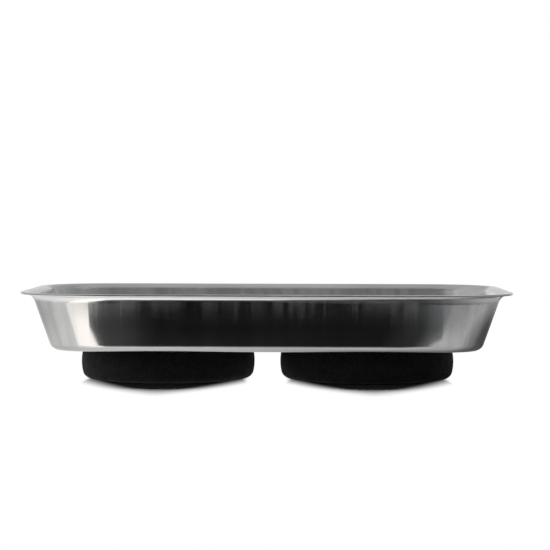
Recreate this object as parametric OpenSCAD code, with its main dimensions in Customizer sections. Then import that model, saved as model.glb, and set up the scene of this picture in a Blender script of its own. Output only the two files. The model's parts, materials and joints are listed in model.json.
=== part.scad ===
// Magnetic parts tray.
// A pressed stainless pan with tapered walls and a flat turned-out rim stands on two round magnet bases.
// Each base is a ring magnet in a steel cup, inside a moulded rubber boot that is also the foot.
// One screw through the pan floor clamps each base, with its nut hidden in the bore of the magnet.
// The origin is on the surface that the tray stands on, under the middle of the pan.
// X runs along the pan, Y runs across it and Z points up.

/* [Pan] */
// Length over the rim
rim_length = 240; // [225:1:300]
// Width over the rim
rim_width = 140; // [130:1:200]
// Corner radius of the rim in plan
rim_corner_radius = 36; // [30:0.5:45]
// Height from the underside of the floor to the top of the rim
pan_height = 28.2; // [20:0.1:34]
// Thickness of the pressed sheet
sheet_thickness = 1; // [0.6:0.05:1.2]
// Reach of the flat rim, from where the wall would meet its underside to its edge
rim_overhang = 5.6; // [5:0.1:8]
// Lean of the walls from upright, in degrees
wall_lean_angle = 19.5; // [10:0.5:22]
// Inner radius of the bend between floor and wall
floor_bend_radius = 3.7; // [3:0.1:8]
// Radius under the bend between wall and rim
rim_bend_radius = 5.1; // [2:0.1:5.5]

/* [Magnet bases] */
// Distance between the centres of the two bases
base_spacing = 100.5; // [96:0.5:110]
// Outer diameter of the steel cup
cup_diameter = 80; // [70:0.5:82]
// Thickness of the steel of the cup
cup_thickness = 1.5; // [1:0.1:2.5]
// Outer radius of the bend round the top of the cup
cup_bend_radius = 3; // [2.6:0.1:5]
// Thickness of the ring magnet
magnet_thickness = 11.5; // [9.5:0.1:16]
// Bore of the ring magnet
magnet_bore = 32; // [20:0.5:40]
// Gap between the magnet and the skirt of the cup
magnet_gap = 2.5; // [1:0.1:4]
// Bevel along the edges of the magnet
magnet_bevel = 0.6; // [0.3:0.1:1.5]

/* [Rubber boots] */
// Thickness of the rubber at the belly, where it is thickest
boot_wall = 3.55; // [3:0.05:5]
// Thickness of the rubber under the magnet
boot_floor = 2; // [1:0.1:3]
// Thickness of the lip over the cup
boot_lip = 1.5; // [1:0.1:2.5]
// Reach of the lip over the cup
boot_lip_reach = 6; // [3:0.5:12]
// Height of the belly above the foot
boot_belly_height = 8.5; // [6:0.1:10]
// Radius of the bulged side, seen in section
boot_bulge_radius = 24; // [20:1:60]
// Radius of the edge round the foot
boot_foot_radius = 2.6; // [1:0.1:4]
// Radius of the edge round the top
boot_top_radius = 1.2; // [0.5:0.1:2]

/* [Fixings] */
// Diameter of the fixing screws
screw_diameter = 6; // [4:0.5:8]
// Diameter of the screw head
head_diameter = 12; // [9:0.5:16]
// Height of the screw head at its crown
head_height = 3.6; // [2.5:0.1:5]
// Height of the upright side of the screw head
head_side = 1.2; // [0.6:0.1:2]
// Length of the cross recess
recess_length = 6.4; // [4:0.1:8]
// Width of the cross recess
recess_width = 1.4; // [0.8:0.1:2]
// Depth of the cross recess
recess_depth = 2; // [1:0.1:2.4]
// Length of screw that stands out past the nut
screw_standout = 1.8; // [0.5:0.1:2]
// Bevel at the tip of the screw
tip_bevel = 0.8; // [0.3:0.1:1]
// Diameter of the packing washer between pan and cup
packing_diameter = 24; // [14:0.5:40]
// Thickness of the spring washer
spring_thickness = 1.4; // [1:0.1:2]
// Radial width of the spring washer
spring_width = 2.5; // [1.5:0.1:3.5]
// Gap of the split in the spring washer
spring_split = 1.2; // [0.6:0.1:2]
// Distance across the flats of the nut
nut_flats = 10; // [8:0.5:16]
// Height of the nut
nut_height = 5; // [3:0.1:5]

/* [Hidden] */
$fn = 96;

// How far a cut runs past the face that it opens
overrun = 1;
// How far the wall of the pan runs into the bends at its ends, so that they join up
joint_overlap = 0.02;
// How far the wall stays inside the faces of those bends, too little to see
joint_inset = 0.0002;
// Radial room between the screw and the holes that it passes through
hole_clearance = 0.3;
// Radial room between the screw and the thread of its nut
thread_clearance = 0.1;
// Radial room between the cup and the boot round it
boot_clearance = 0.2;
// Angle of the bevels on the nut, in degrees
nut_bevel_angle = 30;
// Lean of the split in the spring washer from upright, in degrees
split_lean_angle = 20;
// Bearing face of the nut as a share of its flats
nut_face_share = 0.95;
// Foot of the cross recess as a share of its mouth
recess_foot_share = 0.5;

// Heights of the faces that stack up on the foot
cup_underside = boot_floor + magnet_thickness;
cup_top = cup_underside + cup_thickness;
pan_underside = cup_top + boot_lip;
pan_floor_top = pan_underside + sheet_thickness;
nut_top = cup_underside - spring_thickness;
screw_length = pan_floor_top - nut_top + nut_height + screw_standout;

// Section of the pan, as radius from the corner centre and height above the underside of the floor
corner_x = rim_length / 2 - rim_corner_radius;
corner_y = rim_width / 2 - rim_corner_radius;
rim_underside = pan_height - sheet_thickness;
floor_bend_outer = floor_bend_radius + sheet_thickness;
rim_bend_outer = rim_bend_radius + sheet_thickness;
rim_bend_height = rim_underside - rim_bend_radius;
floor_bend_centre = [
    wall_radius(floor_bend_outer) - floor_bend_outer / cos(wall_lean_angle),
    floor_bend_outer
];
bends_apart = floor_bend_outer + rim_bend_radius;
wall_rise = rim_bend_height - floor_bend_outer + bends_apart * sin(wall_lean_angle);
wall_length = wall_rise / cos(wall_lean_angle);
rim_bend_start = wall_radius(rim_bend_height) + rim_bend_radius / cos(wall_lean_angle);
rim_edge_radius = sheet_thickness / 2;
rim_flat = rim_corner_radius - rim_edge_radius - rim_bend_start;

// Section of a boot, as radius from its axis and height above its foot
boot_radius = cup_diameter / 2 + boot_clearance + boot_wall;
bulge_centre = [boot_radius - boot_bulge_radius, boot_belly_height];
foot_reach = boot_bulge_radius - boot_foot_radius;
top_reach = boot_bulge_radius - boot_top_radius;
foot_angle = asin((boot_foot_radius - boot_belly_height) / foot_reach);
top_angle = asin((pan_underside - boot_top_radius - boot_belly_height) / top_reach);
foot_centre = bulge_centre + foot_reach * along(foot_angle);
top_centre = bulge_centre + top_reach * along(top_angle);

magnet_diameter = cup_diameter - 2 * (cup_thickness + magnet_gap);
screw_hole = screw_diameter + 2 * hole_clearance;
nut_bore = screw_diameter + 2 * thread_clearance;

// Direction at an angle in the plane of a section
function along(angle) = [cos(angle), sin(angle)];

// Radius of the outer face of the pan wall at a height above the floor's underside
function wall_radius(height) =
    rim_corner_radius - rim_overhang - (rim_underside - height) * tan(wall_lean_angle);

// A sector of a ring in section, such as bent sheet or a rounded edge
module bend(centre, inner, outer, from, to) {
    translate(centre) intersection() {
        difference() {
            circle(r = outer);
            if (inner > 0) circle(r = inner);
        }
        polygon([[0, 0], for (angle = [from, (from + to) / 2, to]) 2 * outer * along(angle)]);
    }
}

// A flat ring that stands on its lower face
module ring(outer, inner, height) {
    difference() {
        cylinder(d = outer, h = height);
        translate([0, 0, -overrun]) cylinder(d = inner, h = height + 2 * overrun);
    }
}

// The pressed sheet from the corner centre out over the floor, up the wall and along the rim
module pan_section() {
    square([floor_bend_centre[0], sheet_thickness]);
    translate(floor_bend_centre) {
        bend([0, 0], floor_bend_radius, floor_bend_outer, -90, -wall_lean_angle);
        rotate(-wall_lean_angle) {
            translate([floor_bend_radius + joint_inset, -joint_overlap])
                square([sheet_thickness - 2 * joint_inset, wall_length + 2 * joint_overlap]);
            translate([bends_apart, wall_length]) rotate(wall_lean_angle) rim_section();
        }
    }
}

// The part of the sheet that bends out from the top of the wall, seen from the centre of that bend
module rim_section() {
    bend([0, 0], rim_bend_radius, rim_bend_outer, 90, 180 - wall_lean_angle);
    translate([0, rim_bend_radius]) {
        square([rim_flat, sheet_thickness]);
        bend([rim_flat, rim_edge_radius], 0, rim_edge_radius, -90, 90);
    }
}

// One straight side of the pan, facing +Y
module pan_side(length) {
    translate([-length / 2, 0, 0]) rotate([90, 0, 90]) linear_extrude(length) pan_section();
}

module pan_body() {
    translate([-corner_x, -corner_y, 0]) cube([2 * corner_x, 2 * corner_y, sheet_thickness]);
    for (turn = [0, 180]) {
        rotate(turn) translate([0, corner_y, 0]) pan_side(2 * corner_x);
        rotate(turn + 90) translate([0, corner_x, 0]) pan_side(2 * corner_y);
        rotate(turn) translate([corner_x, corner_y, 0]) rotate_extrude(angle = 90) pan_section();
        rotate(turn) translate([-corner_x, corner_y, 0]) rotate(90) rotate_extrude(angle = 90) pan_section();
    }
}

module tray_pan() {
    color([0.78, 0.78, 0.79]) translate([0, 0, pan_underside]) difference() {
        pan_body();
        for (side = [-1, 1]) translate([side * base_spacing / 2, 0, -overrun])
            cylinder(d = screw_hole, h = sheet_thickness + 2 * overrun);
    }
}

// The full outline of a boot in section, with a bulged side between its rounded edges
module boot_outline() {
    foot_ray = foot_centre + boot_bulge_radius * along(foot_angle);
    top_ray = top_centre + boot_bulge_radius * along(top_angle);
    polygon([
        [0, 0], [foot_centre[0], 0], foot_centre,
        top_centre, [top_centre[0], pan_underside], [0, pan_underside]
    ]);
    bend(foot_centre, 0, boot_foot_radius, -90, foot_angle);
    bend(top_centre, 0, boot_top_radius, top_angle, 90);
    intersection() {
        translate(bulge_centre) circle(r = boot_bulge_radius);
        polygon([foot_centre, foot_ray, top_ray, top_centre]);
    }
}

module rubber_boot() {
    cavity_radius = cup_diameter / 2 + boot_clearance;
    mouth_radius = cup_diameter / 2 - boot_lip_reach;
    color([0.06, 0.06, 0.065]) rotate_extrude() difference() {
        boot_outline();
        translate([0, boot_floor]) square([cavity_radius, cup_top - boot_floor]);
        translate([0, boot_floor]) square([mouth_radius, pan_underside - boot_floor + overrun]);
    }
}

// The cup opens downwards over the magnet
module magnet_cup() {
    cup_radius = cup_diameter / 2;
    bend_centre = [cup_radius - cup_bend_radius, cup_top - cup_bend_radius];
    color([0.62, 0.63, 0.66]) rotate_extrude() {
        translate([screw_hole / 2, cup_underside])
            square([bend_centre[0] - screw_hole / 2, cup_thickness]);
        bend(bend_centre, cup_bend_radius - cup_thickness, cup_bend_radius, 0, 90);
        translate([cup_radius - cup_thickness, boot_floor])
            square([cup_thickness, bend_centre[1] - boot_floor]);
    }
}

module ring_magnet() {
    outer = magnet_diameter / 2;
    inner = magnet_bore / 2;
    color([0.2, 0.2, 0.21]) translate([0, 0, boot_floor]) rotate_extrude() polygon([
        [inner + magnet_bevel, 0], [outer - magnet_bevel, 0],
        [outer, magnet_bevel], [outer, magnet_thickness - magnet_bevel],
        [outer - magnet_bevel, magnet_thickness], [inner + magnet_bevel, magnet_thickness],
        [inner, magnet_thickness - magnet_bevel], [inner, magnet_bevel]
    ]);
}

// Fills the thickness of the boot's lip, so that the screw doesn't bow the pan floor
module packing_washer() {
    color([0.7, 0.71, 0.74]) translate([0, 0, cup_top]) ring(packing_diameter, screw_hole, boot_lip);
}

module cross_recess() {
    height = recess_depth + overrun;
    intersection() {
        for (turn = [0, 90]) rotate(turn)
            translate([-recess_length / 2, -recess_width / 2, 0]) cube([recess_length, recess_width, height]);
        cylinder(d1 = recess_length * recess_foot_share, d2 = recess_length, h = height);
    }
}

// A domed head on the pan floor and a plain shank down to its tip
module fixing_screw() {
    head_radius = head_diameter / 2;
    dome_height = head_height - head_side;
    dome_radius = (head_radius * head_radius + dome_height * dome_height) / (2 * dome_height);
    shank_radius = screw_diameter / 2;
    color([0.76, 0.77, 0.8]) translate([0, 0, pan_floor_top]) {
        difference() {
            intersection() {
                cylinder(r = head_radius, h = head_height + overrun);
                translate([0, 0, head_height - dome_radius]) sphere(r = dome_radius);
            }
            translate([0, 0, head_height - recess_depth]) cross_recess();
        }
        rotate_extrude() polygon([
            [0, 0], [0, -screw_length], [shank_radius - tip_bevel, -screw_length],
            [shank_radius, tip_bevel - screw_length], [shank_radius, 0]
        ]);
    }
}

// A split ring, pressed flat between cup and nut
module spring_washer() {
    outer = screw_hole + 2 * spring_width;
    color([0.55, 0.56, 0.58]) translate([0, 0, nut_top]) difference() {
        ring(outer, screw_hole, spring_thickness);
        translate([0, 0, spring_thickness / 2]) rotate([split_lean_angle, 0, 0])
            translate([0, -spring_split / 2, -outer]) cube([outer, spring_split, 2 * outer]);
    }
}

// The nut hangs from nut_top with both faces bevelled
module hex_nut() {
    corner_radius = nut_flats / 2 / cos(180 / 6);
    face_radius = nut_face_share * nut_flats / 2;
    bevel_radius = corner_radius + overrun;
    bevel_height = (bevel_radius - face_radius) * tan(nut_bevel_angle);
    color([0.72, 0.73, 0.76]) translate([0, 0, nut_top - nut_height]) difference() {
        intersection() {
            cylinder(r = corner_radius, h = nut_height, $fn = 6);
            rotate_extrude() polygon([
                [0, 0], [face_radius, 0], [bevel_radius, bevel_height],
                [bevel_radius, nut_height - bevel_height], [face_radius, nut_height], [0, nut_height]
            ]);
        }
        translate([0, 0, -overrun]) cylinder(d = nut_bore, h = nut_height + 2 * overrun);
    }
}

// Puts a piece of a base on the axis of the left or the right base
module on_base(side) {
    translate([side * base_spacing / 2, 0, 0]) children();
}

tray_pan();
for (base = [["left", -1], ["right", 1]]) {
    on_base(base[1]) rubber_boot();
    on_base(base[1]) magnet_cup();
    on_base(base[1]) ring_magnet();
    on_base(base[1]) packing_washer();
    on_base(base[1]) fixing_screw();
    on_base(base[1]) spring_washer();
    on_base(base[1]) hex_nut();
}
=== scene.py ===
"""The looks of a magnetic parts tray: a drawn stainless pan on two rubber-booted magnet bases."""

import json
import math

import bpy
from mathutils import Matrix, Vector

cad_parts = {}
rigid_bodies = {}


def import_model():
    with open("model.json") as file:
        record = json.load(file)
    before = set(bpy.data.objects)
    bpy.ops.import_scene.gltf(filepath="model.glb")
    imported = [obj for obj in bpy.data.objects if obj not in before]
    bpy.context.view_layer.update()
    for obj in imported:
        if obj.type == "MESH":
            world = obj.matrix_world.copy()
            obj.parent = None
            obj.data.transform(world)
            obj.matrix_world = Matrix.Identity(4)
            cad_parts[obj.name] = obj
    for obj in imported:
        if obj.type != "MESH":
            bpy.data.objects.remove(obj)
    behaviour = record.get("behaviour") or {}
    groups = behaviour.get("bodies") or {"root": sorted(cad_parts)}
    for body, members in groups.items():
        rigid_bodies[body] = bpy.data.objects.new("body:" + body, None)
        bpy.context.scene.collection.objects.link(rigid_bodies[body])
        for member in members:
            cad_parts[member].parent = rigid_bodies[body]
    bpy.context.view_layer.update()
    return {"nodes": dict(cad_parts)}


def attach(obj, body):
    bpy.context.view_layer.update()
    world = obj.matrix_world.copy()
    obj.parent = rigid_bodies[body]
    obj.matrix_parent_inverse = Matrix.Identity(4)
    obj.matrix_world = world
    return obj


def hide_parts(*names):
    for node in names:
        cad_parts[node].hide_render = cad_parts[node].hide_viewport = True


MM = 0.001
SIDES = (("left", -1), ("right", 1))

# Camera, as fitted to the outline of the photographed tray
CAMERA_DISTANCE = 931.5 * MM
CAMERA_HEIGHT = 83.4 * MM
CAMERA_AZIMUTH = math.radians(-0.84)
CAMERA_PAN = math.radians(0.222)
CAMERA_TILT = math.radians(1.945)
CAMERA_ROLL = math.radians(0.144)
FOCAL_PIXELS = 1840.3
FRAME_PIXELS = 550
SENSOR = 36.0

# Pan, in mm: centres of its corners in plan, and the radius at which draw marks run round them
CORNER_X = 84.0
CORNER_Y = 34.0
CORNER_RUN_RADIUS = 25.0

# Pan, in mm: heights between which the painted shade of the foot bend, the painted highlight of the rim
# bend and the painted shade of the cut edge fade in
FOOT_BEND_TOP = 23.0
FOOT_BEND_SHADED = 21.0
RIM_BEND_FOOT = 38.5
RIM_BEND_TOP = 40.0
RIM_EDGE_FOOT = 43.2
RIM_EDGE_TOP = 43.6

# Draw marks, in mm: heights between which they grow stronger, and how far apart their lower ends lie
STREAK_FOOT = 26.5
STREAK_TOP = 42.0
STREAK_SPREAD = 14.0

# Rubber boots, in mm above the foot and from the boot's axis
BASE_SPACING = 100.5
BOOT_RADIUS = 43.75
BOOT_HEIGHT = 16.5
BOOT_FLOOR = 2.0
BOOT_CAVITY = 40.2
BOOT_MOUTH = 34.0
LIP_UNDERSIDE = 15.0
BELLY_HEIGHT = 8.5
BULGE_RADIUS = 24.0
FOOT_RADIUS = 4.0
TOP_RADIUS = 1.2
LIP_EDGE = 0.4
FOOT_RINGS = (10.0, 20.0, 30.0, 36.0)
FLOOR_RING = 20.0
BOOT_STEPS = 224
SHARP_ANGLE = math.radians(40)

# Shadow that each boot keeps on the floor: half its width and depth in mm, and how round its outline is
SHADOW_WIDTH = 45.0
SHADOW_DEPTH = 87.0
SHADOW_ROUNDNESS = 1.3

# Shares of that size between which the shadow fades, at its sides and all round
SHADOW_SIDE_SHARES = (0.81, 0.92)
SHADOW_FADE_SHARES = (0.76, 1.28)

# Floor, in mm: half its size, and the room under the feet, so that the two surfaces never coincide
FLOOR_REACH = 4000.0
FLOOR_GAP = 0.05

# Cards, in mm: the heights of those round the tray and under it, and the tent that stands round all
FLOOR_CARD_HEIGHT = 0.5
UNDER_CARD_HEIGHT = 0.3
TENT_RADIUS = 2200.0
TENT_FOOT = 380.0
TENT_TOP = 3000.0

# Card under the rim: its height and radii about the corner's centre in mm, and its level along the front
RIM_CARD_HEIGHT = 39.4
RIM_CARD_INNER = 29.7
RIM_CARD_OUTER = 33.0
RIM_CARD_DARK = 0.05

# Strength of the plain light from all sides, and the place that the lamps face, in m
SOFT_LIGHT = 0.02
LAMP_AIM = Vector((0.0, 0.0, 0.02))


class Wiring:
    """Adds nodes to one node tree and joins them up."""

    def __init__(self, tree):
        self.nodes = tree.nodes
        self.links = tree.links

    def feed(self, socket, value):
        """Joins a socket to another one, or sets its value."""
        if isinstance(value, bpy.types.NodeSocket):
            self.links.new(value, socket)
        else:
            socket.default_value = value

    def add(self, kind, inputs=None, **settings):
        """Adds one node with its settings and inputs."""
        node = self.nodes.new("ShaderNode" + kind)
        for name, value in settings.items():
            setattr(node, name, value)
        for key, value in (inputs or {}).items():
            self.feed(node.inputs[key], value)
        return node

    def maths(self, operation, first, second=0.0, third=0.0):
        """One step of arithmetic."""
        return self.add("Math", {0: first, 1: second, 2: third}, operation=operation).outputs[0]

    def span(self, value, low, high, to_low=0.0, to_high=1.0):
        """Eases a value from one range to another."""
        inputs = {"Value": value, "From Min": low, "From Max": high, "To Min": to_low, "To Max": to_high}
        return self.add("MapRange", inputs, interpolation_type="SMOOTHSTEP").outputs[0]

    def between(self, factor, first, second):
        """Mixes two values."""
        return self.add("Mix", {0: factor, 2: first, 3: second}).outputs[0]

    def colours(self, factor, first, second):
        """Mixes two colours."""
        return self.add("Mix", {0: factor, 6: first, 7: second}, data_type="RGBA").outputs[2]

    def noise(self, vector, scale, detail=2.0, roughness=0.5, distortion=0.0):
        """Soft random values over the surface."""
        inputs = {
            "Vector": vector, "Scale": scale, "Detail": detail,
            "Roughness": roughness, "Distortion": distortion,
        }
        return self.add("TexNoise", inputs).outputs[0]

    def scaled(self, vector, factors):
        """A place stretched along its axes."""
        return self.add("VectorMath", {0: vector, 1: factors}, operation="MULTIPLY").outputs[0]

    def bump(self, height, distance, normal=None):
        """A normal that follows a height, on top of another normal where one is given."""
        inputs = {"Height": height, "Strength": 1.0, "Distance": distance}
        if normal:
            inputs["Normal"] = normal
        return self.add("Bump", inputs).outputs[0]

    def effect(self, name, **inputs):
        """Places one of the shared effects with its own values."""
        node = self.add("Group", node_tree=bpy.data.node_groups[name])
        for key, value in inputs.items():
            self.feed(node.inputs[key], value)
        return node.outputs


def grey(level, warmth=0.0):
    """A near-neutral colour, a little bluer where warmth is below 0."""
    return (level * (1 + warmth), level, level * (1 - warmth), 1)


def new_group(name, inputs, outputs):
    """A shader node group with named sockets; returns its wiring, its inputs and its output node."""
    tree = bpy.data.node_groups.new(name, "ShaderNodeTree")
    for socket, kind in inputs.items():
        tree.interface.new_socket(socket, in_out="INPUT", socket_type="NodeSocket" + kind)
    for socket, kind in outputs.items():
        tree.interface.new_socket(socket, in_out="OUTPUT", socket_type="NodeSocket" + kind)
    wiring = Wiring(tree)
    source = tree.nodes.new("NodeGroupInput")
    target = tree.nodes.new("NodeGroupOutput")
    return wiring, source.outputs, target.inputs


def make_directional_grain():
    """Long thin marks, as left by rolling, drawing or brushing."""
    inputs = {"Place": "Vector", "Fineness": "Vector", "Detail": "Float"}
    wiring, given, out = new_group("directional_grain", inputs, {"Grain": "Float"})
    stretched = wiring.scaled(given["Place"], given["Fineness"])
    wiring.feed(out["Grain"], wiring.noise(stretched, 1.0, given["Detail"], 0.62))


def make_fine_scratches():
    """Sparse hairline scratches that run in three directions."""
    inputs = {"Place": "Vector", "Scale": "Float", "Width": "Float"}
    wiring, given, out = new_group("fine_scratches", inputs, {"Scratches": "Float"})
    total = 0.0
    for turn, stretch in ((0.35, 0.05), (1.25, 0.07), (2.3, 0.06)):
        turned = wiring.add("VectorRotate", {"Vector": given["Place"], "Angle": turn}).outputs[0]
        sheared = wiring.scaled(turned, (1.0, stretch, 1.0))
        lines = wiring.noise(sheared, given["Scale"], 1.0, 0.4, 0.15)
        off_centre = wiring.maths("ABSOLUTE", wiring.maths("SUBTRACT", lines, 0.5))
        line = wiring.span(off_centre, 0.0, given["Width"], 1.0, 0.0)
        patch = wiring.noise(turned, wiring.maths("MULTIPLY", given["Scale"], 0.4), 2.0)
        line = wiring.maths("MULTIPLY", line, wiring.span(patch, 0.52, 0.66))
        total = wiring.maths("MAXIMUM", total, line)
    wiring.feed(out["Scratches"], total)


def make_handling_marks():
    """Soft smears and fingermarks where a surface has been handled."""
    inputs = {"Place": "Vector", "Scale": "Float"}
    wiring, given, out = new_group("handling_marks", inputs, {"Smears": "Float", "Cloud": "Float"})
    cloud = wiring.noise(given["Place"], given["Scale"], 5.0, 0.6, 0.8)
    wiring.feed(out["Cloud"], cloud)
    wiring.feed(out["Smears"], wiring.span(cloud, 0.5, 0.72))


def make_granular():
    """Fine grains, as on moulded rubber and sintered powder."""
    inputs = {"Place": "Vector", "Scale": "Float"}
    wiring, given, out = new_group("granular", inputs, {"Height": "Float", "Mottle": "Float"})
    cells = wiring.add("TexVoronoi", {"Vector": given["Place"], "Scale": given["Scale"]})
    coarse = wiring.maths("MULTIPLY", cells.outputs["Distance"], 0.5)
    fine = wiring.noise(given["Place"], wiring.maths("MULTIPLY", given["Scale"], 0.8), 3.0, 0.65)
    wiring.feed(out["Height"], wiring.maths("ADD", coarse, fine))
    mottle = wiring.noise(given["Place"], wiring.maths("MULTIPLY", given["Scale"], 0.12), 4.0, 0.6)
    wiring.feed(out["Mottle"], wiring.span(mottle, 0.3, 0.7))


def make_dust():
    """Scattered specks of lint and dust."""
    inputs = {"Place": "Vector", "Scale": "Float", "Size": "Float"}
    wiring, given, out = new_group("dust", inputs, {"Specks": "Float"})
    cells = wiring.add("TexVoronoi", {"Vector": given["Place"], "Scale": given["Scale"]})
    speck = wiring.span(cells.outputs["Distance"], 0.0, given["Size"], 1.0, 0.0)
    pick = wiring.add("SeparateColor", {"Color": cells.outputs["Color"]}).outputs[0]
    wiring.feed(out["Specks"], wiring.maths("MULTIPLY", speck, wiring.span(pick, 0.8, 0.86)))


def new_material(name):
    """A material with its wiring, its shader and the coordinates of its surface."""
    material = bpy.data.materials.new(name)
    material.use_nodes = True
    wiring = Wiring(material.node_tree)
    shader = wiring.nodes["Principled BSDF"]
    coordinates = wiring.add("TexCoord")
    return material, wiring, shader, coordinates


def wall_run(wiring, place):
    """Distance round the pan along its wall, and height, so that draw marks follow the tapered corners."""
    x, y, z = wiring.add("SeparateXYZ", {"Vector": place}).outputs
    flat_x = wiring.add("Clamp", {"Value": x, "Min": -CORNER_X * MM, "Max": CORNER_X * MM}).outputs[0]
    flat_y = wiring.add("Clamp", {"Value": y, "Min": -CORNER_Y * MM, "Max": CORNER_Y * MM}).outputs[0]
    past_x = wiring.maths("SUBTRACT", x, flat_x)
    past_y = wiring.maths("SUBTRACT", y, flat_y)
    facing = wiring.maths("ARCTAN2", past_y, past_x)
    run = wiring.maths("MULTIPLY", facing, CORNER_RUN_RADIUS * MM)
    run = wiring.maths("SUBTRACT", run, wiring.maths("MULTIPLY", flat_x, wiring.maths("SINE", facing)))
    run = wiring.maths("ADD", run, wiring.maths("MULTIPLY", flat_y, wiring.maths("COSINE", facing)))
    return wiring.add("CombineXYZ", {"X": run, "Z": z}).outputs[0], z


def drawn_stainless():
    """Bright drawn sheet: draw marks high on the walls, rolling grain on the flats, a burnished rim bend
    with a painted highlight, and painted shade on the foot bend and on the rim's cut edge.
    """
    material, wiring, shader, coordinates = new_material("drawn_stainless")
    place = coordinates.outputs["Object"]
    facing = wiring.add("SeparateXYZ", {"Vector": coordinates.outputs["Normal"]}).outputs["Z"]
    tilt = wiring.maths("ABSOLUTE", facing)
    upright = wiring.span(tilt, 0.5, 0.85, 1.0, 0.0)
    level = wiring.span(tilt, 0.5, 0.85)
    run, height = wall_run(wiring, place)
    under = wiring.span(facing, -0.36, -0.6)
    # Mask of the rim bend: its paler colour is a painted highlight, and its lower roughness is a real
    # burnish
    rim_bend = wiring.span(height, RIM_BEND_FOOT * MM, RIM_BEND_TOP * MM)
    burnish_and_painted_highlight = wiring.maths("MULTIPLY", under, rim_bend)
    # Mask of the foot bend, which is darkened with painted shade
    foot_bend = wiring.span(height, FOOT_BEND_TOP * MM, FOOT_BEND_SHADED * MM)
    painted_foot_shade = wiring.maths("MULTIPLY", under, foot_bend)
    # Mask of the rim's cut edge, which is darkened with painted shade
    painted_edge_shade = wiring.span(height, RIM_EDGE_FOOT * MM, RIM_EDGE_TOP * MM)
    painted_edge_shade = wiring.maths("MULTIPLY", painted_edge_shade, wiring.span(tilt, 0.3, 0.5, 1.0, 0.0))

    fine = wiring.effect("directional_grain", Place=run, Fineness=(420, 1, 5), Detail=2)["Grain"]
    broad = wiring.effect("directional_grain", Place=run, Fineness=(110, 1, 9), Detail=1)["Grain"]
    rolled = wiring.effect("directional_grain", Place=place, Fineness=(14, 2600, 60), Detail=4)["Grain"]
    marks = wiring.effect("handling_marks", Place=place, Scale=22)
    scratches = wiring.effect("fine_scratches", Place=place, Scale=210, Width=0.006)["Scratches"]
    scratches = wiring.maths("MULTIPLY", scratches, level)
    specks = wiring.effect("dust", Place=place, Scale=95, Size=0.03)["Specks"]
    specks = wiring.maths("MULTIPLY", specks, upright)
    reach = wiring.maths("MULTIPLY_ADD", wiring.maths("SUBTRACT", fine, 0.5), STREAK_SPREAD * MM, height)
    high = wiring.maths("POWER", wiring.span(reach, STREAK_FOOT * MM, STREAK_TOP * MM), 2.0)
    streaks = wiring.between(0.3, broad, fine)
    bars = wiring.span(streaks, 0.38, 0.57)
    drawn = wiring.maths("MULTIPLY", wiring.maths("MULTIPLY", bars, high), upright)

    tone = wiring.maths("ADD", wiring.between(upright, rolled, streaks), marks["Cloud"])
    tone = wiring.span(tone, 0.75, 1.25)
    colour = wiring.colours(tone, grey(0.57, -0.01), grey(0.72, 0.004))
    # Painted highlight: the rim bend is made paler than the rest of the sheet
    colour = wiring.colours(burnish_and_painted_highlight, colour, grey(0.95))
    # Painted shade: the foot bend is made darker than the rest of the sheet
    colour = wiring.colours(painted_foot_shade, colour, grey(0.52))
    # Painted shade: the rim's cut edge is made dark
    colour = wiring.colours(painted_edge_shade, colour, grey(0.3))
    colour = wiring.colours(specks, colour, grey(0.85))
    wiring.feed(shader.inputs["Base Color"], colour)
    shader.inputs["Metallic"].default_value = 1
    sheen = wiring.between(upright, 0.22, 0.1)
    sheen = wiring.maths("ADD", sheen, wiring.maths("MULTIPLY", drawn, 0.12))
    sheen = wiring.maths("ADD", sheen, wiring.maths("MULTIPLY", marks["Smears"], 0.03))
    sheen = wiring.maths("ADD", sheen, wiring.maths("MULTIPLY", scratches, 0.02))
    wiring.feed(shader.inputs["Roughness"], wiring.between(burnish_and_painted_highlight, sheen, 0.14))
    wiring.feed(shader.inputs["Coat Weight"], wiring.maths("MAXIMUM", drawn, specks))
    shader.inputs["Coat Roughness"].default_value = 0.8
    shader.inputs["Coat IOR"].default_value = 2.4
    surface = wiring.bump(wiring.noise(place, 24, 2.0), 40e-6)
    surface = wiring.bump(wiring.between(upright, rolled, fine), 3e-6, surface)
    surface = wiring.bump(wiring.maths("MULTIPLY", broad, upright), 45e-6, surface)
    surface = wiring.bump(wiring.maths("SUBTRACT", specks, scratches), 3e-6, surface)
    wiring.feed(shader.inputs["Normal"], surface)
    return material


def boot_rubber():
    """Matte black moulded rubber with a fine grain, paler where it is rubbed."""
    material, wiring, shader, coordinates = new_material("boot_rubber")
    place = coordinates.outputs["Object"]
    grains = wiring.effect("granular", Place=place, Scale=1500)
    marks = wiring.effect("handling_marks", Place=place, Scale=40)
    specks = wiring.effect("dust", Place=place, Scale=180, Size=0.05)["Specks"]
    colour = wiring.colours(wiring.span(grains["Height"], 0.5, 1.0), grey(0.002, -0.02), grey(0.011, -0.02))
    colour = wiring.colours(wiring.maths("MULTIPLY", marks["Smears"], 0.35), colour, grey(0.012))
    colour = wiring.colours(wiring.maths("MULTIPLY", specks, 0.35), colour, grey(0.16))
    wiring.feed(shader.inputs["Base Color"], colour)
    sheen = wiring.between(grains["Mottle"], 0.72, 0.86)
    wiring.feed(shader.inputs["Roughness"], sheen)
    shader.inputs["Specular IOR Level"].default_value = 0.12
    surface = wiring.bump(grains["Height"], 160e-6)
    wiring.feed(shader.inputs["Normal"], surface)
    return material


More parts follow.
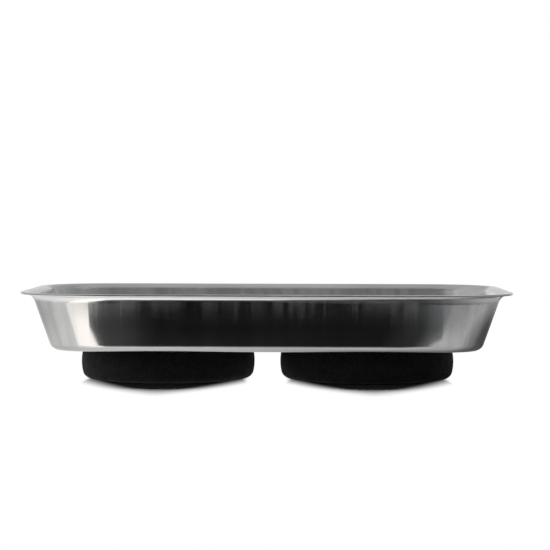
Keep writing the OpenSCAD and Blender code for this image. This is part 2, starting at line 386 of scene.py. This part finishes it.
def plated_metal(name, dark, pale, shine, marks_scale, fineness):
    """Zinc-plated steel, clouded by the plating bath, with tool or press marks."""
    material, wiring, shader, coordinates = new_material(name)
    place = coordinates.outputs["Object"]
    marks = wiring.effect("handling_marks", Place=place, Scale=marks_scale)
    grain = wiring.effect("directional_grain", Place=place, Fineness=fineness, Detail=4)["Grain"]
    scratches = wiring.effect("fine_scratches", Place=place, Scale=900, Width=0.01)["Scratches"]
    wiring.feed(shader.inputs["Base Color"], wiring.colours(marks["Cloud"], dark, pale))
    shader.inputs["Metallic"].default_value = 1
    sheen = wiring.maths("ADD", shine, wiring.maths("MULTIPLY", marks["Smears"], 0.14))
    sheen = wiring.maths("ADD", sheen, wiring.maths("MULTIPLY", scratches, 0.15))
    wiring.feed(shader.inputs["Roughness"], sheen)
    surface = wiring.bump(grain, 6e-6)
    surface = wiring.bump(scratches, -5e-6, surface)
    wiring.feed(shader.inputs["Normal"], surface)
    return material


def sintered_ferrite():
    """Dull dark grey pressed and fired powder."""
    material, wiring, shader, coordinates = new_material("sintered_ferrite")
    place = coordinates.outputs["Object"]
    grains = wiring.effect("granular", Place=place, Scale=2200)
    marks = wiring.effect("handling_marks", Place=place, Scale=60)
    colour = wiring.colours(grains["Mottle"], grey(0.035, 0.02), grey(0.065, 0.02))
    colour = wiring.colours(wiring.maths("MULTIPLY", marks["Smears"], 0.4), colour, grey(0.1, 0.03))
    wiring.feed(shader.inputs["Base Color"], colour)
    wiring.feed(shader.inputs["Roughness"], wiring.between(grains["Mottle"], 0.55, 0.75))
    wiring.feed(shader.inputs["Normal"], wiring.bump(grains["Height"], 60e-6))
    return material


def link_object(name, mesh):
    """A new object with this mesh, placed in the scene."""
    thing = bpy.data.objects.new(name, mesh)
    bpy.context.scene.collection.objects.link(thing)
    return thing


def arc(centre, radius, start, end, steps):
    """Points of an arc in section, as radius and height."""
    angles = [start + (end - start) * step / steps for step in range(steps + 1)]
    return [(centre[0] + radius * math.cos(a), centre[1] + radius * math.sin(a)) for a in angles]


def boot_section():
    """The boot's section as a run of points, from the middle of the foot round to the middle inside."""
    bulge = (BOOT_RADIUS - BULGE_RADIUS, BELLY_HEIGHT)
    foot_angle = math.asin((FOOT_RADIUS - BELLY_HEIGHT) / (BULGE_RADIUS - FOOT_RADIUS))
    top_angle = math.asin((BOOT_HEIGHT - TOP_RADIUS - BELLY_HEIGHT) / (BULGE_RADIUS - TOP_RADIUS))
    foot = arc(bulge, BULGE_RADIUS - FOOT_RADIUS, foot_angle, foot_angle, steps=1)[0]
    top = arc(bulge, BULGE_RADIUS - TOP_RADIUS, top_angle, top_angle, steps=1)[0]
    points = [(radius, 0.0) for radius in FOOT_RINGS]
    points += arc(foot, FOOT_RADIUS, -math.pi / 2, foot_angle, steps=10)
    points += arc(bulge, BULGE_RADIUS, foot_angle, top_angle, steps=20)[1:-1]
    points += arc(top, TOP_RADIUS, top_angle, math.pi / 2, steps=6)
    edge = BOOT_MOUTH + LIP_EDGE
    points += arc((edge, BOOT_HEIGHT - LIP_EDGE), LIP_EDGE, math.pi / 2, math.pi, steps=4)
    points += arc((edge, LIP_UNDERSIDE + LIP_EDGE), LIP_EDGE, math.pi, 1.5 * math.pi, steps=4)
    points += [(BOOT_CAVITY, LIP_UNDERSIDE), (BOOT_CAVITY, BOOT_FLOOR), (FLOOR_RING, BOOT_FLOOR)]
    return points


def lathe(name, section, centre, low, high):
    """A closed solid turned about a vertical axis, with its two ends closed at heights low and high."""
    verts = []
    faces = []
    for step in range(BOOT_STEPS):
        angle = 2 * math.pi * step / BOOT_STEPS
        for radius, height in section:
            verts.append((
                (centre + radius * math.cos(angle)) * MM,
                radius * math.sin(angle) * MM,
                height * MM,
            ))
    rows = len(section)
    first_pole = len(verts)
    verts += [(centre * MM, 0, low * MM), (centre * MM, 0, high * MM)]
    for step in range(BOOT_STEPS):
        here = step * rows
        there = (step + 1) % BOOT_STEPS * rows
        for row in range(rows - 1):
            faces.append((here + row, there + row, there + row + 1, here + row + 1))
        faces.append((first_pole, there, here))
        faces.append((here + rows - 1, there + rows - 1, first_pole + 1))
    mesh = bpy.data.meshes.new(name)
    mesh.from_pydata(verts, [], faces)
    mesh.validate()
    mesh.shade_smooth()
    mesh.set_sharp_from_angle(angle=SHARP_ANGLE)
    return link_object(name, mesh)


def add_boot(side, sign, material):
    """The rubber boot of one base, turned finer than the solid that it stands for."""
    name = side + "_boot"
    boot = lathe(name, boot_section(), sign * BASE_SPACING / 2, 0.0, BOOT_FLOOR)
    boot.data.materials.append(material)
    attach(boot, "root")
    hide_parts(side + "_rubber_boot")
    return boot


def dress(frame, finishes):
    """Gives each CAD node the finish of its piece."""
    for name, node in frame["nodes"].items():
        piece = name.split("_", 1)[1]
        node.data.materials.clear()
        node.data.materials.append(finishes[piece])


def add_camera():
    """The camera, at the place and with the lens that the outline gave."""
    data = bpy.data.cameras.new("camera")
    data.sensor_width = SENSOR
    data.lens = FOCAL_PIXELS / FRAME_PIXELS * SENSOR
    data.clip_start = 0.01
    data.clip_end = 100
    camera = bpy.data.objects.new("camera", data)
    camera.location = (
        -CAMERA_DISTANCE * math.sin(CAMERA_AZIMUTH),
        -CAMERA_DISTANCE * math.cos(CAMERA_AZIMUTH),
        CAMERA_HEIGHT,
    )
    camera.rotation_euler = (math.pi / 2 - CAMERA_TILT, -CAMERA_ROLL, -CAMERA_AZIMUTH - CAMERA_PAN)
    bpy.context.scene.collection.objects.link(camera)
    bpy.context.scene.camera = camera


def seen_directly(wiring):
    """1 for rays of the camera, of reflections and through glass, and 0 for the rays that light things."""
    path = wiring.add("LightPath").outputs
    seen = wiring.maths("MAXIMUM", path["Is Camera Ray"], path["Is Glossy Ray"])
    seen = wiring.maths("MAXIMUM", seen, path["Is Transmission Ray"])
    return wiring.maths("MULTIPLY", seen, wiring.maths("LESS_THAN", path["Diffuse Depth"], 0.5))


def add_world(level):
    """White where it is seen, and a plain soft light on everything."""
    world = bpy.data.worlds.new("studio")
    world.use_nodes = True
    wiring = Wiring(world.node_tree)
    strength = wiring.between(seen_directly(wiring), level, 1.0)
    wiring.feed(wiring.nodes["Background"].inputs["Color"], (1, 1, 1, 1))
    wiring.feed(wiring.nodes["Background"].inputs["Strength"], strength)
    bpy.context.scene.world = world


def lit_share(wiring, place, sign):
    """0 on the floor close to one boot and 1 outside the boot's shadow."""
    centre = (sign * BASE_SPACING / 2 * MM, 0, 0)
    offset = wiring.add("VectorMath", {0: place, 1: centre}, operation="SUBTRACT").outputs[0]
    shares = wiring.scaled(offset, (1 / (SHADOW_WIDTH * MM), 1 / (SHADOW_DEPTH * MM), 1))
    sizes = wiring.add("VectorMath", {0: shares}, operation="ABSOLUTE").outputs[0]
    across, along, _ = wiring.add("SeparateXYZ", {"Vector": sizes}).outputs
    beside = wiring.span(across, *SHADOW_SIDE_SHARES)
    across = wiring.maths("POWER", across, SHADOW_ROUNDNESS)
    reach = wiring.maths("ADD", across, wiring.maths("POWER", along, SHADOW_ROUNDNESS))
    return wiring.maths("MAXIMUM", beside, wiring.span(reach, *SHADOW_FADE_SHARES))


def bare_material(name):
    """A material that has no shader yet, with its wiring."""
    material = bpy.data.materials.new(name)
    material.use_nodes = True
    wiring = Wiring(material.node_tree)
    wiring.nodes.remove(wiring.nodes["Principled BSDF"])
    return material, wiring


def add_floor():
    """A pale floor that keeps the shadow of the boots, fades to white round it and is clear from below."""
    reach = FLOOR_REACH * MM
    mesh = bpy.data.meshes.new("floor")
    corners = [(-reach, -reach, 0), (reach, -reach, 0), (reach, reach, 0), (-reach, reach, 0)]
    mesh.from_pydata(corners, [], [(0, 1, 2, 3)])
    floor = link_object("floor", mesh)
    floor.location.z = -FLOOR_GAP * MM
    material, wiring = bare_material("pale_floor")
    paper = wiring.add("BsdfDiffuse", {"Color": grey(0.92)}).outputs[0]
    glow = wiring.add("Emission", {"Color": grey(1.0), "Strength": 1.0}).outputs[0]
    geometry = wiring.add("NewGeometry").outputs
    place = geometry["Position"]
    left_share, right_share = [lit_share(wiring, place, sign) for _, sign in SIDES]
    share = wiring.maths("MINIMUM", left_share, right_share)
    share = wiring.maths("MULTIPLY", share, seen_directly(wiring))
    mixed = wiring.add("MixShader", {0: share, 1: paper, 2: glow}).outputs[0]
    clear = wiring.add("BsdfTransparent").outputs[0]
    mixed = wiring.add("MixShader", {0: geometry["Backfacing"], 1: mixed, 2: clear}).outputs[0]
    wiring.feed(wiring.nodes["Material Output"].inputs["Surface"], mixed)
    floor.data.materials.append(material)
    return floor


def add_card(name, corners, levels, warmth=0.0):
    """A card that shows only in reflections, shaded evenly between the levels of its rows of corners."""
    columns = len(corners[0])
    verts = [Vector(corner) * MM for row in corners for corner in row]
    faces = []
    for row in range(len(corners) - 1):
        for column in range(columns - 1):
            low = row * columns + column
            faces.append((low, low + 1, low + columns + 1, low + columns))
    mesh = bpy.data.meshes.new(name)
    mesh.from_pydata(verts, [], faces)
    tone = mesh.attributes.new("tone", "FLOAT", "POINT")
    tone.data.foreach_set("value", [level for row in levels for level in row])
    card = link_object(name, mesh)
    card.visible_camera = False
    card.visible_diffuse = False
    card.visible_shadow = False
    card.visible_transmission = False
    material, wiring = bare_material(name)
    level = wiring.add("Attribute", attribute_name="tone").outputs["Fac"]
    level = wiring.maths("MULTIPLY", level, seen_directly(wiring))
    glow = wiring.add("Emission", {"Color": grey(1.0, warmth), "Strength": level}).outputs[0]
    wiring.feed(wiring.nodes["Material Output"].inputs["Surface"], glow)
    card.data.materials.append(material)


def flat(*places):
    """Corners of a row of a card that lies just above the floor."""
    return [(x, y, FLOOR_CARD_HEIGHT) for x, y in places]


def add_floor_cards():
    """Cards round the tray: dark in front, bright at front left, grey at the sides, one upright behind."""
    add_card(
        "front_card",
        [flat((-79, -67), (-55, -67), (20, -67), (66, -67), (76, -69)),
         flat((-82, -74), (-55, -73), (55, -75), (72, -76), (79, -77)),
         flat((-88.5, -90), (-55, -90), (60, -90), (78, -90), (86, -90)),
         flat((-94, -108), (-55, -108), (60, -108), (80, -108), (92, -108)),
         flat((-103, -130), (-60, -130), (60, -130), (80, -130), (96, -130)),
         flat((-435, -700), (-250, -700), (150, -700), (200, -700), (250, -700))],
        [[0.5, 0.3, 0.15, 0.1, 0.4], [0.08, 0.02, 0.01, 0.03, 0.16], [0.07, 0.01, 0.01, 0.04, 0.14],
         [0.17, 0.01, 0.02, 0.07, 0.24], [0.25, 0.05, 0.05, 0.1, 0.24], [0.25, 0.15, 0.14, 0.16, 0.24]],
        -0.02,
    )
    add_card(
        "front_right_card",
        [flat((76, -69), (83, -74), (105, -66), (122, -64)),
         flat((79, -77), (84.5, -80), (112, -76), (138, -67)),
         flat((86, -90), (98, -90), (118, -86), (150, -62)),
         flat((92, -108), (112, -106), (136, -94), (176, -52)),
         flat((250, -700), (430, -640), (600, -520), (800, -300))],
        [[0.4, 0.55, 0.55, 0.42], [0.16, 0.6, 0.53, 0.46], [0.14, 0.42, 0.4, 0.47],
         [0.24, 0.36, 0.34, 0.49], [0.24, 0.4, 0.45, 0.5]],
    )
    add_card(
        "right_card",
        [flat((105, -66), (122, -64), (138, -67), (150, -62), (176, -52), (800, -300)),
         flat((108, -52), (126, -52), (142, -52), (158, -44), (186, -24), (800, -120)),
         flat((110, -38), (131, -38), (146, -29), (162, -14), (200, 0), (800, 60)),
         flat((112, 10), (140, 10), (160, 12), (175, 20), (212, 40), (800, 300)),
         flat((112, 300), (150, 300), (170, 300), (190, 300), (240, 300), (800, 700))],
        [[0.52, 0.42, 0.46, 0.47, 0.49, 0.5], [0.36, 0.26, 0.28, 0.3, 0.45, 0.5],
         [0.15, 0.12, 0.1, 0.11, 0.4, 0.5], [0.12, 0.08, 0.08, 0.09, 0.4, 0.5],
         [0.2, 0.2, 0.2, 0.2, 0.5, 0.5]],
    )
    add_card(
        "front_left_card",
        [flat((-79, -67), (-102, -70)),
         flat((-88.5, -90), (-126, -83)),
         flat((-94, -108), (-147, -93)),
         flat((-435, -700), (-720, -400))],
        [[1.3, 1.2], [1.35, 1.3], [1.0, 1.2], [1.0, 1.2]],
        0.045,
    )
    add_card(
        "left_card",
        [flat((-79, -67), (-102, -70), (-126, -83), (-147, -93), (-720, -400)),
         flat((-90, -55), (-112, -52), (-140, -62), (-165, -62), (-850, -60)),
         flat((-104, -20), (-122, -16), (-150, -20), (-180, -20), (-850, 0)),
         flat((-108, 60), (-122, 60), (-150, 60), (-188, 60), (-850, 60)),
         flat((-112, 300), (-122, 300), (-150, 300), (-188, 300), (-850, 300))],
        [[1.1, 0.88, 0.86, 0.86, 0.7], [0.9, 0.8, 0.8, 0.72, 0.6], [0.8, 0.74, 0.7, 0.56, 0.5],
         [0.7, 0.7, 0.7, 0.5, 0.5], [0.5, 0.5, 0.5, 0.5, 0.5]],
        0.01,
    )
    add_card(
        "under_card",
        [[(x, y, UNDER_CARD_HEIGHT) for x in (-106, -50, 0, 50, 112)] for y in (-78, -60, -51, -43, 67)],
        [[1.0, 0.9, 0.6, 0.6, 0.5], [1.0, 0.92, 0.75, 0.78, 0.5], [1.0, 0.85, 0.74, 0.5, 0.3],
         [0.95, 0.8, 0.68, 0.3, 0.15], [0.4, 0.4, 0.4, 0.3, 0.15]],
        0.01,
    )
    add_card(
        "back_floor_card",
        [flat((-78, 67), (78, 67)), flat((-100, 112), (100, 112)), flat((-300, 700), (300, 700))],
        [[0.05, 0.05], [0.12, 0.12], [0.5, 0.5]],
    )
    add_card(
        "corner_card",
        [[(x, 300, z) for x in (-112, -100, -90, -50)] for z in (64, 112)],
        [[0.85, 0.5, 0.3, 0.3], [0.85, 0.5, 0.3, 0.3]],
    )


def under_rim(x, turn, radius):
    """A place close under the rim: along the front, then turned round the front right corner."""
    angle = math.radians(turn)
    return (x + radius * math.sin(angle), -CORNER_Y - radius * math.cos(angle), RIM_CARD_HEIGHT)


def add_rim_card():
    """A narrow card under the rim at the front right: dark along the front and grey round the corner."""
    # Each station: place along the front, turn round the corner, inner radius and level
    stations = [
        (-25, 0, 31.2, RIM_CARD_DARK), (10, 0, 30.35, RIM_CARD_DARK),
        (45, 0, 30.05, RIM_CARD_DARK), (76, 0, RIM_CARD_INNER, RIM_CARD_DARK),
    ]
    for turn in range(0, 91, 15):
        stations.append((CORNER_X, turn, RIM_CARD_INNER, 0.1 + 0.25 * min(turn / 45, 1)))
    inner_row = [under_rim(x, turn, inner) for x, turn, inner, _ in stations]
    outer_row = [under_rim(x, turn, RIM_CARD_OUTER) for x, turn, _, _ in stations]
    levels = [level for *_, level in stations]
    add_card("rim_card", [inner_row, outer_row], [levels, levels])


def on_ring(turn, height):
    """A place on the tent's ring; turn 0 is behind the tray and 180 is behind the camera."""
    angle = math.radians(turn)
    return (TENT_RADIUS * math.sin(angle), TENT_RADIUS * math.cos(angle), height)


def add_tent():
    """A ring of grey cards and a lid high round the tray, darker behind the camera and to the right."""
    ring = (
        (0, 0.5), (60, 0.36), (110, 0.36), (150, 0.25), (180, 0.22),
        (210, 0.25), (250, 0.6), (300, 0.65), (360, 0.5),
    )
    levels = [level for _, level in ring]
    places = [[on_ring(turn, height) for turn, _ in ring] for height in (TENT_FOOT, TENT_TOP)]
    add_card("tent", places, [levels, levels])
    lid_sides = (-TENT_RADIUS, TENT_RADIUS)
    lid = [[(x, y, TENT_TOP) for x in lid_sides] for y in (-TENT_RADIUS, -700, 0, TENT_RADIUS)]
    add_card("lid", lid, [[0.2, 0.2], [0.25, 0.25], [0.5, 0.5], [0.55, 0.55]])


def add_lamp(name, place, width, height, power):
    """A soft rectangular lamp that points at the tray and doesn't show in it."""
    data = bpy.data.lights.new(name, "AREA")
    data.shape = "RECTANGLE"
    data.size = width
    data.size_y = height
    data.energy = power
    lamp = bpy.data.objects.new(name, data)
    lamp.location = place
    lamp.rotation_euler = (LAMP_AIM - Vector(place)).to_track_quat("-Z", "Y").to_euler()
    lamp.visible_glossy = False
    bpy.context.scene.collection.objects.link(lamp)
    return lamp


def light_under(lamp, blockers):
    """Lets only the boots stop this lamp, so that it lights the floor under the pan."""
    shades = bpy.data.collections.new("shades_of_" + lamp.name)
    for blocker in blockers:
        shades.objects.link(blocker)
    lamp.light_linking.blocker_collection = shades


def keep_off(lamp, floor):
    """Keeps a lamp that fills in the shaded sides of the tray off the floor."""
    others = bpy.data.collections.new("floor_for_" + lamp.name)
    others.objects.link(floor)
    others.collection_objects[0].light_linking.link_state = "EXCLUDE"
    lamp.light_linking.receiver_collection = others


def clear_scene():
    """Removes whatever the session starts with."""
    for thing in list(bpy.data.objects):
        bpy.data.objects.remove(thing)


clear_scene()
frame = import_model()
add_camera()

make_directional_grain()
make_fine_scratches()
make_handling_marks()
make_granular()
make_dust()
rubber = boot_rubber()
bright_plate = plated_metal("bright_zinc", grey(0.56, -0.03), grey(0.72, -0.01), 0.28, 120, (900, 900, 900))
finishes = {
    "pan": drawn_stainless(),
    "rubber_boot": rubber,
    "magnet_cup": plated_metal("cup_zinc", grey(0.46, -0.03), grey(0.6, -0.02), 0.34, 45, (300, 300, 12)),
    "ring_magnet": sintered_ferrite(),
    "packing_washer": bright_plate,
    "fixing_screw": bright_plate,
    "spring_washer": bright_plate,
    "hex_nut": bright_plate,
}
dress(frame, finishes)
boots = [add_boot(side, sign, rubber) for side, sign in SIDES]

floor = add_floor()
add_floor_cards()
add_rim_card()
add_tent()
add_world(SOFT_LIGHT)
back_lamp = add_lamp("back_lamp", (0.0, 1.1, 0.55), width=0.5, height=0.5, power=24)
light_under(back_lamp, boots)
left_lamp = add_lamp("left_lamp", (-1.15, -0.15, 0.35), width=0.8, height=0.7, power=18)
keep_off(left_lamp, floor)
front_lamp = add_lamp("front_lamp", (0.5, -1.2, 0.9), width=1.2, height=0.8, power=5)
keep_off(front_lamp, floor)

bpy.context.scene.view_settings.view_transform = "Standard"
